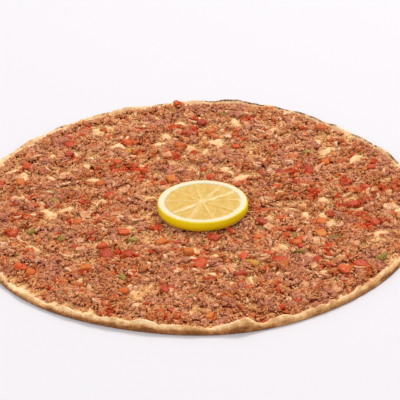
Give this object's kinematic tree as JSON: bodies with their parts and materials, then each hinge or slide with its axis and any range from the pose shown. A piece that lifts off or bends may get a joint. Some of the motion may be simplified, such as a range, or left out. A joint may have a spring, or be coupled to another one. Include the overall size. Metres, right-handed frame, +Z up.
{
  "type": "lahmacun",
  "caption": "Thin round flatbread with a low browned rim, spread with spiced mince, diced vegetables and onion, with a slice of lemon on top; lies flat.",
  "frame": {"origin": "middle of the flatbread's flat underside", "axes": "+Z up, out of the topped face; +X to the right and +Y away, seen from the side with the puffed blister in the rim"},
  "size_m": [0.2943, 0.2945, 0.0132],
  "materials": {
    "dough": "baked thin dough, cream where covered, golden brown on the rim with a few dark scorched specks",
    "mince": "cooked spiced mince with red, orange, green and pale diced vegetables, moist in places",
    "lemon": "fresh cut lemon: bright yellow peel, white pith, moist translucent flesh"
  },
  "bodies": {
    "root": {"flatbread": "dough", "meat_topping": "mince", "lemon_slice": "lemon"}
  },
  "joints": []
}
